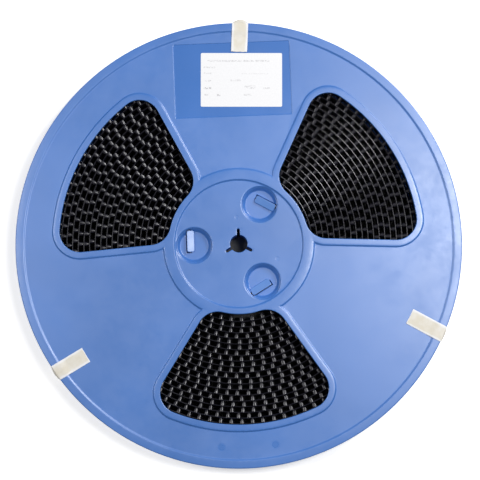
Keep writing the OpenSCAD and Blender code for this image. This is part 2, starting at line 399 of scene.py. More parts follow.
# The label's faint printing, generic bars only. Each has its middle from the label's left and
# top edge, its width and height, and how dark it is.
LABEL_BARS = ((28.0, 5.9, 46.0, 1.2, 0.30), (6.5, 10.8, 9.0, 1.1, 0.28),
              (5.0, 15.2, 5.5, 1.1, 0.25), (5.0, 20.9, 5.5, 1.2, 0.30),
              (5.0, 26.4, 5.5, 1.4, 0.50), (4.0, 31.4, 3.0, 1.1, 0.30),
              (13.0, 31.6, 3.0, 1.4, 0.42), (40.0, 15.6, 20.0, 0.7, 0.16),
              (26.0, 20.5, 8.0, 1.3, 0.20), (36.5, 25.6, 8.0, 2.4, 0.26),
              (49.0, 26.4, 5.0, 1.2, 0.26), (35.0, 31.4, 6.0, 1.4, 0.24))


def label_paper(name):
    """Smooth white label paper with worn rows of grey dashes."""
    material = bpy.data.materials.new(name)
    n = Nodes(material)
    at = n.place()
    fibres = n.noise(at, FIBRE_SCALE, 3.0)
    base = n.mix(n.ramp(fibres, 0.3, 0.7), *LABEL_WHITES)
    box_low, box_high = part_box("label")
    middle = (box_low + box_high) / 2
    turned_back = n.add("ShaderNodeMapping", {"Vector": at, "Location": tuple(middle),
                                              "Rotation": (0, 0, LABEL_TILT)},
                        vector_type="TEXTURE")
    split = n.add("ShaderNodeSeparateXYZ", {0: turned_back.outputs["Vector"]})
    across, up = split.outputs["X"], split.outputs["Y"]
    letters = n.ramp(n.noise(at, LETTER_SCALE, 1.0), 0.42, 0.56)
    ink = 0.0
    for left, top, width, height, tone in LABEL_BARS:
        dx = n.math("ABSOLUTE", n.math("SUBTRACT", across, (left - LABEL_W / 2) * MM))
        dy = n.math("ABSOLUTE", n.math("SUBTRACT", up, (LABEL_H / 2 - top) * MM))
        bar = n.math("MULTIPLY", n.math("LESS_THAN", dx, width / 2 * MM),
                     n.math("LESS_THAN", dy, height / 2 * MM))
        ink = n.math("MAXIMUM", ink, n.math("MULTIPLY", bar, tone))
    printed = n.mix(n.math("MULTIPLY", ink, letters), base, LABEL_INK)
    n.shader(Base_Color=printed, Roughness=PAPER_ROUGH, Normal=n.bump(fibres, FIBRE_DEPTH, 0.3))
    return material


def masking_paper(name):
    """Cream masking tape with a fine crepe and paler borders."""
    material = bpy.data.materials.new(name)
    n = Nodes(material)
    at = n.place()
    crepe = n.noise(at, CREPE_SCALE, 3.0)
    blotch = n.noise(at, BLOTCH_SCALE, 3.0)
    middle = n.mix(n.ramp(blotch, 0.35, 0.65), *STRIP_CREAMS)
    border = n.add("ShaderNodeAttribute", attribute_name="border").outputs["Fac"]
    unevenness = n.ramp(blotch, 0.3, 0.7, -BORDER_RAGGED, BORDER_RAGGED)
    ragged = n.math("ADD", border, unevenness)
    base = n.mix(n.ramp(ragged, 0.3, 0.65), middle, STRIP_BORDER)
    n.shader(Base_Color=base, Roughness=STRIP_ROUGH, Normal=n.bump(crepe, CREPE_DEPTH, 0.6))
    return material


flange_look = moulded_plastic("flange_blue", FLANGE_BLUE, FLANGE_ROUGH)
hub_look = moulded_plastic("hub_blue", HUB_BLUE, HUB_ROUGH)
tape_look = tape_plastic("tape_black")
label_look = label_paper("label_white")
strip_look = masking_paper("strip_cream")


# ---- Window outline ------------------------------------------

def corner_centre(radius, corner):
    """Centre, in a window's own axes, of a corner arc that touches the straight side."""
    q = WINDOW_SIDE + corner
    t = math.sqrt(radius ** 2 - q ** 2)
    s, c = math.sin(WINDOW_ANGLE), math.cos(WINDOW_ANGLE)
    return np.array([q * s + t * c, t * s - q * c])


CORNER_OUT = corner_centre(WINDOW_OUT - ROUND_OUT, ROUND_OUT)
CORNER_IN = corner_centre(WINDOW_IN + ROUND_IN, ROUND_IN)
ANGLE_OUT = math.atan2(CORNER_OUT[1], CORNER_OUT[0])
ANGLE_IN = math.atan2(CORNER_IN[1], CORNER_IN[0])
ALONG = np.array([math.cos(WINDOW_ANGLE), math.sin(WINDOW_ANGLE)])
# Rough lengths of half a window's curves: hub side, hub corner, rim corner, rim side
CURVE_LENGTHS = (16, 34, 40, 60)


def window_distance(p):
    """Distance of each point from the nearest window's edge, negative inside the window."""
    best = np.full(len(p), FAR)
    s, c = math.sin(WINDOW_ANGLE), math.cos(WINDOW_ANGLE)
    for place in WINDOW_PLACES:
        q = turned(p, -place)
        x, y = q[:, 0], np.abs(q[:, 1])
        r, angle = np.hypot(x, y), np.arctan2(y, x)
        along = x * ALONG[0] + y * ALONG[1]
        d = np.maximum.reduce([WINDOW_SIDE - x * s + y * c, r - WINDOW_OUT, WINDOW_IN - r])
        out = (along > CORNER_OUT @ ALONG) & (angle > ANGLE_OUT)
        d = np.where(out, np.hypot(x - CORNER_OUT[0], y - CORNER_OUT[1]) - ROUND_OUT, d)
        inner = (along < CORNER_IN @ ALONG) & (angle > ANGLE_IN)
        d = np.where(inner, np.hypot(x - CORNER_IN[0], y - CORNER_IN[1]) - ROUND_IN, d)
        best = np.minimum(best, d)
    return best


def window_loop(g, place, spacing):
    """The outline of the window at place degrees, grown by g, in steps of about spacing."""
    normal = 90 + math.degrees(WINDOW_ANGLE)
    a_out, a_in = math.degrees(ANGLE_OUT), math.degrees(ANGLE_IN)
    side = CORNER_OUT @ ALONG - CORNER_IN @ ALONG
    steps = max(2, round(side / (2 * spacing)))
    hub_side, hub_corner, rim_corner, rim_side = [round(x / spacing) for x in CURVE_LENGTHS]
    half = [arc(0, 0, WINDOW_IN - g, 0, a_in, hub_side + 1)[1:-1],
            arc(*CORNER_IN, ROUND_IN + g, 180 + a_in, normal, hub_corner)]
    start, end = half[-1][-1], arc(*CORNER_OUT, ROUND_OUT + g, normal, normal, 1)[0]
    half.append(start + np.linspace(0, 1, steps + 1)[1:-1, None] * (end - start))
    half.append(arc(*CORNER_OUT, ROUND_OUT + g, normal, a_out, rim_corner))
    half.append(arc(0, 0, WINDOW_OUT + g, a_out, 0, rim_side)[1:])
    upper = np.vstack(half)
    lower = upper[::-1][1:] * [1, -1]
    return turned(np.vstack([[(WINDOW_IN - g, 0)], upper, lower]), place)


# ---- Arbor hole outline --------------------------------------

TIP_POINTS = 9           # points round a notch's tip
ARBOR_POINTS = 16        # points from one notch to the next


def arbor_distance(p):
    """Distance of each point from the notched arbor hole's edge."""
    d = np.hypot(p[:, 0], p[:, 1]) - ARBOR_R
    for place in NOTCH_PLACES:
        q = turned(p, -place)
        x = q[:, 0] - np.clip(q[:, 0], 0, NOTCH_TIP - NOTCH_W / 2)
        d = np.minimum(d, np.hypot(x, q[:, 1]) - NOTCH_W / 2)
    return d


def arbor_loop(g):
    """The arbor hole's outline with its notches, grown by g."""
    half, radius = NOTCH_W / 2 + g, ARBOR_R + g
    reach = math.degrees(math.asin(half / radius))
    parts = []
    foot = math.sqrt(radius ** 2 - half ** 2)
    tip = arc(NOTCH_TIP - NOTCH_W / 2, 0, half, -90, 90, TIP_POINTS)
    notch = np.vstack([[(foot, -half)], tip, [(foot, half)]])
    for place in NOTCH_PLACES:
        parts.append(turned(notch, place))
        parts.append(arc(0, 0, radius, place + reach, place + NOTCH_STEP - reach,
                         ARBOR_POINTS)[1:-1])
    return np.vstack(parts)


# ---- Lock wells ----------------------------------------------

SLOT_POINTS = 5          # points where a slot is cut by the circle near the well's wall


def well_axes(p, place):
    """Points in a well's own axes: +X away from the reel's axis."""
    return turned(p, -place) - [WELL_PITCH, 0]


def from_well(points, place):
    """Points in a well's own axes, put back in the reel's."""
    return turned(np.asarray(points) + [WELL_PITCH, 0], place)


def slot_box():
    """The slot's sides in the well's axes: x from, x to, how far it reaches down y and up y."""
    return (HOOK_BACK - HOOK_LEG - SLOT_GAP, HOOK_BACK + SLOT_GAP, HOOK_END + SLOT_GAP,
            HOOK_L + SLOT_GAP - HOOK_END)


def slot_loop():
    """The slot in a well's floor, in the well's axes, cut by a circle near the well's wall."""
    x0, x1, low, y1 = slot_box()
    limit = WELL_R - HOOK_GAP / 2
    a0 = -math.degrees(math.acos(x0 / limit)) if math.sqrt(limit ** 2 - x0 ** 2) < low \
        else -math.degrees(math.asin(low / limit))
    a1 = -math.degrees(math.acos(x1 / limit))
    bottom = arc(0, 0, limit, a0, a1, SLOT_POINTS)
    start = [[x0, y1], [x0, (y1 - low) / 2]]
    if bottom[0][0] > x0 + CLOSE:
        start.append([x0, -low])
    end = [[x1, (y1 - low) / 2], [x1, y1]]
    return np.vstack([start, bottom, end])


def in_slot(q):
    """Whether each point, in a well's own axes, lies in the slot."""
    return (slot_distance(q) == 0) & (np.hypot(q[:, 0], q[:, 1]) < WELL_R - HOOK_GAP / 2)


def slot_distance(q):
    """Distance outside the slot's four sides."""
    x0, x1, low, y1 = slot_box()
    return np.hypot(np.maximum(np.maximum(x0 - q[:, 0], q[:, 0] - x1), 0),
                    np.maximum(np.maximum(-low - q[:, 1], q[:, 1] - y1), 0))


# ---- Flange surfaces -----------------------------------------

RIM_RAMP = 1.9           # width of the slope at the rim's foot, softer than the solid's
RIM_FALL = 0.15          # fall of the rim's top towards the edge, less than the solid's
RIM_FOOT = REEL_R - RIM_W
RIM_CREST = RIM_FOOT + RIM_RAMP
EDGE_START = REEL_R - EDGE_R
LIP_EDGE = 0.5           # rounding of a lip's edge at the window
LIP_RAMP = 1.5           # width of a lip's outer slope
LIP_FALL = 0.12          # how far a lip's top falls away from the window
RING_RAMP = 1.6          # width of the hub ring's two slopes
WELL_EDGE = 1.2          # rounding of a well's mouth
WELL_DRAFT = 2.6         # width of a well's sloping wall
WELL_FILLET = 0.8        # rounding at a well's floor
PANEL_RAMP = 0.7         # width of the slope round the label panel
ARBOR_EDGE = 0.4         # rounding of the arbor hole's edge
SLOT_EDGE = 0.5          # rounding of a slot's edges on the well's floor
STEEP = 0.08             # width of a wall on the hidden inner side

# How polished the mould is: 1 in the label panel, 0 on the textured faces
LIP_POLISH = 0.2
RING_POLISH = 0.35
DISC_POLISH = 0.2
MARK_POLISH = 0.75

# Round marks of the mould: radius from the axis, degrees, the circle's radius. Those near the
# rim are faint dimples, and those on the hub's disc come from ejector pins.
RIM_MARKS = ((150.0, 262.9, 3.6), (150.0, 278.0, 3.6))
MARK_DEPTH = 0.03
MARK_STEPS = (0, 0.35, 0.7, 1.05, 1.4)  # loops across a mark's soft edge
PIN_MARKS = ((19.6, 92.5, 1.6), (30.6, 336.5, 1.6))
PIN_DEPTH = 0.08
PIN_STEPS = (0, 0.15, 0.3)

# Points on each circle
RIM_POINTS = 360
RING_POINTS = 150
DRUM_POINTS = 96
COLLAR_POINTS = 48
WELL_POINTS = 72
MARK_POINTS = 28
PIN_POINTS = 20
PANEL_POINTS = 6         # and on each of the panel's corners
WINDOW_SPACING = 1.6     # and between the points of a window's outline

# Where the loops lie across a slope, as shares of its width
QUARTERS = (0, 0.25, 0.5, 0.75, 1)
FIFTHS = (0, 0.2, 0.4, 0.6, 0.8, 1)
WELL_SHARES = (1, 0.92, 0.84, 0.76, 0.66, 0.5, 0.34, 0.24, 0.12, 0)
# Where they lie on a rounding, in degrees from its start
EDGE_TURNS = (0, 20, 40, 60, 78, 90)
LIP_TURNS = (0, 22, 45, 67, 90)
MOUTH_TURNS = (20, 36, 52, 70, 90)
SLOT_TURNS = (30, 60, 90)
# And how far they lie from the arbor hole's edge
ARBOR_STEPS = (0, 0.03, 0.12, ARBOR_EDGE)
APART = 0.001            # keeps one loop from lying on another
MERGE = 1e-5             # points nearer than this become one


def round_over(d, radius):
    """How far a rounded edge lies below its top, at distance d in from the edge."""
    u = np.clip(1 - d / radius, 0, 1)
    return radius * (1 - np.sqrt(1 - u * u))


def drafted(d):
    """A well's wall: 0 at the mouth, 1 on the floor, straight between two small roundings."""
    t = np.clip(d / WELL_DRAFT, 0, 1)
    k = WELL_FILLET / WELL_DRAFT
    body = np.where(t < k, t * t / (2 * k), t - k / 2)
    body = np.where(t > 1 - k, 1 - k - (1 - t) ** 2 / (2 * k), body)
    return body / (1 - k)


def panel_distance(p):
    """Distance outside the label panel's outline."""
    qx = np.abs(p[:, 0]) - (PANEL_W / 2 - PANEL_ROUND)
    qy = np.abs(p[:, 1] - PANEL_Y) - (PANEL_H / 2 - PANEL_ROUND)
    outside = np.hypot(np.maximum(qx, 0), np.maximum(qy, 0))
    return outside + np.minimum(np.maximum(qx, qy), 0) - PANEL_ROUND


def mark_share(p, mark, steps):
    """1 inside a round mark, and down to 0 across its soft edge."""
    radius, degrees, size = mark
    x, y = polar(radius, degrees)
    return ease((size - np.hypot(p[:, 0] - x, p[:, 1] - y)) / steps[-1])


def rim_fall(r):
    """How far the rim's top has fallen at a radius."""
    return RIM_FALL * np.clip((r - RIM_CREST) / (EDGE_START - RIM_CREST), 0, 1)


def outer_face(p):
    """Height of the flange's outer face above its inner face."""
    r = np.hypot(p[:, 0], p[:, 1])
    g = np.maximum(window_distance(p), 0)
    lip = (LIP_RAISE - LIP_FALL * g / LIP_W) * ease((LIP_W - g) / LIP_RAMP)
    ring = (LIP_RAISE - LIP_FALL * ease((r - WINDOW_IN) / (RING_OUT - WINDOW_IN))) \
        * ease((RING_OUT - r) / RING_RAMP)
    raised = np.maximum(lip, ring) * ease((r - RING_IN) / RING_RAMP)
    z = SHEET_T + raised - round_over(g, LIP_EDGE)

    rim = RIM_RAISE * ease((r - RIM_FOOT) / RIM_RAMP)
    z += rim - rim_fall(r) - round_over(REEL_R - r, EDGE_R)

    z -= PANEL_DEPTH * ease(-panel_distance(p) / PANEL_RAMP) * (raised < CLOSE)
    for mark in RIM_MARKS:
        z -= MARK_DEPTH * mark_share(p, mark, MARK_STEPS)
    for mark in PIN_MARKS:
        z -= PIN_DEPTH * mark_share(p, mark, PIN_STEPS)

    for place in WELL_PLACES:
        q = well_axes(p, place)
        d = np.hypot(q[:, 0], q[:, 1]) - WELL_R
        z -= round_over(np.maximum(d, 0), WELL_EDGE) * (d < WELL_EDGE)
        z -= (WELL_DEPTH - WELL_EDGE) * drafted(-d)
        on_floor = ease((-d - WELL_DRAFT / 2) / WELL_DRAFT * 2)
        z -= round_over(slot_distance(q), SLOT_EDGE) * on_floor
    return z - round_over(arbor_distance(p), ARBOR_EDGE)


def polish_of(p):
    """How polished each point is, from 0 to 1."""
    r = np.hypot(p[:, 0], p[:, 1])
    disc = DISC_POLISH * ease((RING_IN + RING_RAMP - r) / RING_RAMP)
    lips = LIP_POLISH * ease((LIP_W - window_distance(p)) / LIP_RAMP)
    ring = RING_POLISH * ease((RING_OUT - r) / RING_RAMP)
    raised = np.maximum(lips, ring) * ease((r - RING_IN) / RING_RAMP)
    polish = np.maximum(np.maximum(raised, disc), ease(-panel_distance(p) / PANEL_RAMP))
    for mark in RIM_MARKS:
        polish = np.maximum(polish, MARK_POLISH * mark_share(p, mark, MARK_STEPS))
    return polish


def inner_face(p):
    """Height of the flange's inner face: flat, with wells' cups, collar and drum groove."""
    r = np.hypot(p[:, 0], p[:, 1])
    z = round_over(REEL_R - r, EDGE_R)
    z += GROOVE_DEPTH * ((r > HUB_R - DRUM_WALL - SEAT_GAP) & (r < HUB_R + SEAT_GAP))
    for place in WELL_PLACES:
        q = well_axes(p, place)
        d = WELL_R + WELL_WALL - np.hypot(q[:, 0], q[:, 1])
        z += (WELL_FLOOR - WELL_WALL) * ease(d / STEEP)
    z += (SEAT_GAP - INNER_W / 2) * ease((COLLAR_R - r) / STEEP)
    return z


def rounding_step(radius, degrees):
    """How far a rounding has come in from its edge after turning by degrees."""
    return radius * (1 - math.cos(math.radians(degrees)))


def flange_loops():
    """Closed loops of points that the flange's surfaces bend along."""
    loops = []
    edge = [EDGE_START + EDGE_R * math.sin(math.radians(a)) for a in EDGE_TURNS]
    rim = [RIM_FOOT + RIM_RAMP * t for t in FIFTHS] + [(RIM_CREST + edge[0]) / 2] + edge
    loops += [circle(0, 0, r, RIM_POINTS) for r in rim]
    ring = [RING_IN + RING_RAMP * t for t in QUARTERS] + [WINDOW_IN + APART]
    ring += [RING_OUT - RING_RAMP * t for t in QUARTERS[::-1]]
    loops += [circle(0, 0, r, RING_POINTS) for r in ring]
    groove = (HUB_R - DRUM_WALL - SEAT_GAP, HUB_R + SEAT_GAP)
    loops += [circle(0, 0, r, DRUM_POINTS) for r in groove]
    loops += [circle(0, 0, r, COLLAR_POINTS) for r in (COLLAR_R, COLLAR_R - STEEP)]

    lip = [rounding_step(LIP_EDGE, a) for a in LIP_TURNS] + [LIP_W / 2]
    lip += [LIP_W - LIP_RAMP * t for t in QUARTERS[::-1]]
    for place in WINDOW_PLACES:
        loops += [window_loop(g, place, WINDOW_SPACING) for g in lip]

    well = [WELL_R - WELL_DRAFT * t for t in WELL_SHARES]
    well += [WELL_R + rounding_step(WELL_EDGE, a) for a in MOUTH_TURNS]
    well += [WELL_R + WELL_WALL - STEEP, WELL_R + WELL_WALL]
    x0, x1, low, y1 = slot_box()
    for place in WELL_PLACES:
        loops += [from_well(circle(0, 0, r, WELL_POINTS), place) for r in well]
        loops.append(from_well(slot_loop(), place))
        for g in [rounding_step(SLOT_EDGE, a) for a in SLOT_TURNS]:
            box = [(x0 - g, -low), (x1 + g, -low), (x1 + g, y1 + g), (x0 - g, y1 + g)]
            loops.append(from_well(box, place))

    loops += [arbor_loop(g) for g in ARBOR_STEPS]
    w, h = PANEL_W / 2 - PANEL_ROUND, PANEL_H / 2 - PANEL_ROUND
    for t in QUARTERS:
        radius = PANEL_ROUND - t * PANEL_RAMP
        corners = [arc(sx * w, PANEL_Y + sy * h, radius, a, a + 90, PANEL_POINTS)
                   for sx, sy, a in ((1, 1, 0), (-1, 1, 90), (-1, -1, 180), (1, -1, 270))]
        loops.append(np.vstack(corners))
    for radius, degrees, size in RIM_MARKS:
        loops += [circle(*polar(radius, degrees), size - d, MARK_POINTS) for d in MARK_STEPS]
    for radius, degrees, size in PIN_MARKS:
        loops += [circle(*polar(radius, degrees), size - d, PIN_POINTS) for d in PIN_STEPS]
    return loops


def flange_mesh():
    """Vertices and faces of one flange moulding, inner face at z = 0, outer face up."""
    points, edges = [], []
    for loop in flange_loops():
        first = len(points)
        points += [Vector(p) for p in loop]
        edges += [(first + i, first + (i + 1) % len(loop)) for i in range(len(loop))]
    flat, _, cells, *_ = geometry.delaunay_2d_cdt(points, edges, [], 0, MERGE)
    flat = np.array([tuple(p) for p in flat])
    cells = np.array(cells)
    middle = flat[cells].mean(axis=1)
    solid = (window_distance(middle) > 0) & (arbor_distance(middle) > 0)
    for place in WELL_PLACES:
        solid &= ~in_slot(well_axes(middle, place))
    cells = cells[solid]

    # All triangles counterclockwise
    a, b, c = (flat[cells[:, i]] for i in range(3))
    area = (b[:, 0] - a[:, 0]) * (c[:, 1] - a[:, 1]) - (b[:, 1] - a[:, 1]) * (c[:, 0] - a[:, 0])
    cells[area < 0] = cells[area < 0][:, ::-1]

    # Only the points that are still in use
    used = np.unique(cells)
    index = np.full(len(flat), -1)
    index[used] = np.arange(len(used))
    cells, flat = index[cells], flat[used]
    count = len(flat)
    top = np.column_stack([flat, outer_face(flat)])
    bottom = np.column_stack([flat, inner_face(flat)])

    # A triangle's side with no neighbour lies on an outline and gets a wall
    sides = {}
    for t in cells.tolist():
        for i in range(3):
            sides[(t[i], t[(i + 1) % 3])] = True
    walls = [(i, i + count, j + count, j) for i, j in sides if (j, i) not in sides]
    faces = cells.tolist() + (cells[:, ::-1] + count).tolist() + walls
    return np.vstack([top, bottom]), faces


def make_flanges():
    """The same moulding in front and, turned over, at the rear."""
    verts, faces = flange_mesh()
    polish = np.clip(polish_of(verts[:, :2]), 0, 1)
    front = new_piece("front_flange_moulding", verts + [0, 0, FRONT_Z], faces, flange_look)
    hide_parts("front_flange")
    turned_over = verts * [-1, 1, -1] + [0, 0, FLANGE_T]
    rear = new_piece("rear_flange_moulding", turned_over, faces, flange_look)
    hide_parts("rear_flange")
    for piece in (front, rear):
        layer = piece.data.attributes.new("polish", "FLOAT", "POINT")
        layer.data.foreach_set("value", polish)


# ---- Hub -----------------------------------------------------

HOOK_ROUND = 1.5         # corner radius of a hook's head, seen from above
HOOK_BEVEL = 0.5         # rounding of the head's edges
BEVEL_MIDDLE = 0.1       # the rounding's middle, in and down from the sharp edge
HOOK_SWELL = 0.3         # how far the moulded hooks fill the slot's clearance
LEG_ROUND = 0.5
LEG_INSET = 0.02         # keeps the leg's sides off the head's
CORNER_POINTS = 7        # points on each corner of head and leg
DRUM_BEVEL = 0.3
DRUM_STEPS = 160         # points round the drum


def rounded_box(x0, x1, y0, y1, radius, inset=0.0):
    """Loop of a rectangle with round corners, shrunk by inset."""
    corners = ((x1, y1, -1, -1, 0), (x0, y1, 1, -1, 90), (x0, y0, 1, 1, 180), (x1, y0, -1, 1, 270))
    return np.vstack([arc(x + sx * radius, y + sy * radius, radius - inset, a, a + 90,
                          CORNER_POINTS) for x, y, sx, sy, a in corners])


def tube_faces(count, levels):
    """Faces of a closed shell through levels of count points each, with flat caps."""
    faces = []
    for level in range(levels - 1):
        for k in range(count):
            a, b = level * count + k, level * count + (k + 1) % count
            faces.append((a, b, b + count, a + count))
    last = (levels - 1) * count
    return faces + [tuple(range(count))[::-1], tuple(range(last, last + count))]


def skin(rings):
    """Closed shell through rings of equal count."""
    return np.vstack(rings), tube_faces(len(rings[0]), len(rings))


def join(shells):
    """One vertex array and face list from several."""
    verts, faces, shift = [], [], 0
    for v, f in shells:
        verts.append(v)
        faces += [tuple(i + shift for i in face) for face in f]
        shift += len(v)
    return np.vstack(verts), faces


def hook_shells():
    """Leg and head of one hook in its well's axes, z from the drum's middle."""
    floor_z = INNER_W / 2 + WELL_FLOOR
    y0, y1 = -HOOK_END, HOOK_L - HOOK_END + HOOK_SWELL
    back = HOOK_BACK + HOOK_SWELL
    slope_from = HOOK_BACK - HOOK_LEG / 2
    slope_to = HOOK_BACK - HOOK_W

    def top(x):
        """Height of the head's top, which falls towards its tip."""
        share = np.clip((slope_from - x) / (slope_from - slope_to), 0, 1)
        return floor_z + HOOK_H - HOOK_FALL * share

    head = []
    for inset, drop in ((HOOK_BEVEL, None), (0, None), (0, HOOK_BEVEL),
                        (BEVEL_MIDDLE, BEVEL_MIDDLE), (HOOK_BEVEL, 0.0)):
        loop = rounded_box(slope_to, back, y0, y1, HOOK_ROUND, inset)
        under = floor_z + SNAP_GAP + (0 if inset else HOOK_BEVEL)
        z = np.full(len(loop), under) if drop is None else top(loop[:, 0]) - drop
        head.append(np.column_stack([loop, z]))
    leg = []
    for z in (0.0, floor_z + SNAP_GAP + HOOK_BEVEL):
        loop = rounded_box(HOOK_BACK - HOOK_LEG, back - LEG_INSET, y0 + LEG_INSET,
                           y1 - LEG_INSET, LEG_ROUND)
        leg.append(np.column_stack([loop, np.full(len(loop), z)]))
    return [skin(head), skin(leg)]


def lathe(profile, steps):
    """A closed profile of (radius, z) turned about the axis."""
    a = np.radians(np.arange(steps) * 360 / steps)
    r, z = np.array(profile).T
    verts = np.stack([np.outer(np.cos(a), r), np.outer(np.sin(a), r), np.tile(z, (steps, 1))],
                     axis=2)
    count, faces = len(profile), []
    for i in range(steps):
        j = (i + 1) % steps
        for k in range(count):
            m = (k + 1) % count
            faces.append((i * count + k, j * count + k, j * count + m, i * count + m))
    return verts.reshape(-1, 3), faces


def make_hub():
    """The drum with its middle web, and six hooks."""
    half, web = INNER_W / 2 + DRUM_SEAT, WEB_T / 2
    inside, hole, e = HUB_R - DRUM_WALL, COLLAR_R + WEB_GAP, DRUM_BEVEL
    lower = [(hole, -web), (inside - e, -web), (inside, -web - e), (inside, -half + e),
             (inside + e, -half), (HUB_R - e, -half), (HUB_R, -half + e)]
    shells = [lathe(lower + [(r, -z) for r, z in lower[::-1]], DRUM_STEPS)]
    for verts, faces in hook_shells():
        for place in WELL_PLACES:
            upper = np.column_stack([from_well(verts[:, :2], place), verts[:, 2]])
            shells += [(upper, faces), (upper * [-1, 1, -1], faces)]
    verts, faces = join(shells)
    hub = new_piece("hub_moulding", verts + [0, 0, MID_Z], faces, hub_look)
    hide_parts("hub")


# ---- Hold-down strips ----------------------------------------

STRIP_BRIDGE = 4.0       # how far in from the rim's foot a strip starts to rise
BULGE_CROWN = 0.55       # how much of the bulge is gone at a strip's long edges
TORN_STEP = 0.18         # random steps of a torn end, from point to point
TORN_SHARE = 0.35        # share of their sum by which the end is ragged
FIRST_SEED = 3
SIDE_POWER = 3           # how steeply the pale border fades from the long edges inward
END_POWER = 60           # and from the ends
ACROSS = 25              # points across a strip
ALONG_FACE = 40          # lines across it on one flange
WRAP_ANGLES = np.radians(np.linspace(15, 90, 6))  # lines round a flange's edge
GAP_LINES = 17           # lines between the flanges


def strip_height(r):
    """Height above a flange's inner face at which a strip lies, inside the edge's rounding."""
    bridge = (r - REEL_R + RIM_W + STRIP_BRIDGE) / (RIM_RAMP + STRIP_BRIDGE)
    return SHEET_T + RIM_RAISE * ease(bridge) - rim_fall(r)


def strip_mesh(place, direction, length, bulge, seed):
    """Open grid of a strip's glued face, from its end on the front flange to that on the rear."""
    rng = np.random.default_rng(seed)
    ox, oy = polar(REEL_R, place)
    dx, dy = polar(1, direction)
    v = np.linspace(-STRIP_W / 2, STRIP_W / 2, ACROSS)
    bx, by = ox - dy * v, oy + dx * v

    def reach(radius):
        """Distance along the strip at which each line along it meets a radius."""
        along = bx * dx + by * dy
        return -along + np.sqrt(along ** 2 - bx ** 2 - by ** 2 + radius ** 2)

    def line(u, z):
        """Points across the strip, at distances u along it."""
        return np.column_stack([bx + dx * u, by + dy * u, np.broadcast_to(z, ACROSS)])

    def rise(u):
        """The strip's height above a flange's inner face, at distances u along it."""
        return strip_height(np.hypot(bx + dx * u, by + dy * u))

    torn = [-length + rng.normal(0, TORN_STEP, ACROSS).cumsum() * TORN_SHARE for _ in range(2)]
    to_edge = reach(EDGE_START)
    rows = []
    for t in np.linspace(0, 1, ALONG_FACE):
        u = torn[0] + (to_edge - torn[0]) * t
        rows.append(line(u, FRONT_Z + rise(u) + STRIP_GLUE))

    turn_z = strip_height(EDGE_START) - EDGE_R
    grip = EDGE_R + STRIP_GLUE
    wrap = [(EDGE_START + grip * math.sin(a), FRONT_Z + turn_z + grip * math.cos(a))
            for a in WRAP_ANGLES]
    rows += [line(reach(r), z) for r, z in wrap]
    start, end = wrap[-1][1], REEL_H - wrap[-1][1]
    crown = 1 - BULGE_CROWN * (2 * v / STRIP_W) ** 2
    for t in np.linspace(0, 1, GAP_LINES + 2)[1:-1]:
        slack = bulge * crown * math.sin(math.pi * t)
        rows.append(line(reach(REEL_R + STRIP_GLUE + slack), start + (end - start) * t))
    rows += [line(reach(r), REEL_H - z) for r, z in wrap[::-1]]

    for t in np.linspace(1, 0, ALONG_FACE):
        u = torn[1] + (to_edge - torn[1]) * t
        rows.append(line(u, FLANGE_T - (rise(u) + STRIP_GLUE)))
    count = len(rows)
    side = np.abs(2 * v / STRIP_W) ** SIDE_POWER
    ends = np.abs(np.linspace(-1, 1, count)) ** END_POWER
    border = np.maximum(np.tile(side, (count, 1)), ends[:, None]).ravel()
    faces = [(i * ACROSS + k, (i + 1) * ACROSS + k, (i + 1) * ACROSS + k + 1, i * ACROSS + k + 1)
             for i in range(count - 1) for k in range(ACROSS - 1)]
    return np.vstack(rows), faces, border


def make_strips():
    """The paper strips, made as thick as they are by a modifier."""
    for seed, (node, place, direction, length, bulge) in enumerate(STRIPS):
        verts, faces, border = strip_mesh(place, direction, length, bulge, seed + FIRST_SEED)
        strip = new_piece(node + "_paper", verts, faces, strip_look, sharp=60,
                          weighted=False)
        layer = strip.data.attributes.new("border", "FLOAT", "POINT")
        layer.data.foreach_set("value", border)
        thick = strip.modifiers.new("paper", "SOLIDIFY")
        thick.thickness = STRIP_T * MM
        thick.offset = 1
        thick.use_even_offset = True
        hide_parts(node)


# ---- Carrier tape --------------------------------------------

TAPE_T = 0.55            # tape and cover film, a little over the solid's
TAPE_CROWN = 0.13        # how far the tape's cut edges stand up in the middle
POCKET_STEP = 8.0        # distance from one pocket to the next
POCKET_HALF = 1.6        # half a pocket's length along the tape
POCKET_ROUND = 0.45      # radius of its corners
POCKET_DRAFT = 0.3       # how far a pocket's sides slope in towards its floor
POCKET_CROWN = 0.36      # how far they bulge in the middle
POCKET_ROOT = 0.2        # how far a pocket starts inside the ribbon
POCKET_GAP = 0.05        # between a pocket's floor and the turn below
END_DRAWS = (0.12, 0.6)  # how far its ends come in, at half its depth and at its floor
FLOOR_DRAW = 0.35        # how much more its sides come in at the floor
POCKET_SLIP = 0.12       # how unevenly the pockets follow each other
SLIP_SEED = 11
RIBBON_STEPS = 2         # ribbon sections for each pocket
# The tape's wander along the reel's axis: size, waves for each radian of winding, start
SWAYS = ((0.12, 0.731, 1.1), (0.1, 2.37, 0), (0.06, 5.13, 2))
SWAY_ROOM = 0.3          # kept free at both edges for it


def spiral(theta):
    """Radius of the tape's outer face after theta radians of winding."""
    return FIRST_TURN_R + TAPE_PITCH * theta / (2 * math.pi)


def tape_angles(step):
    """Winding angles at equal steps along the tape."""
    end = TAPE_TURNS * 2 * math.pi
    rate = TAPE_PITCH / (2 * math.pi)
    first = FIRST_TURN_R
    length = first * end + rate * end ** 2 / 2
    s = np.arange(0, length, step)
    return (np.sqrt(first ** 2 + 2 * rate * s) - first) / rate


def tape_sway(theta):
    """How far the tape has wandered along the reel's axis, within the room for it."""
    return sum(size * np.sin(theta * rate + start) for size, rate, start in SWAYS)


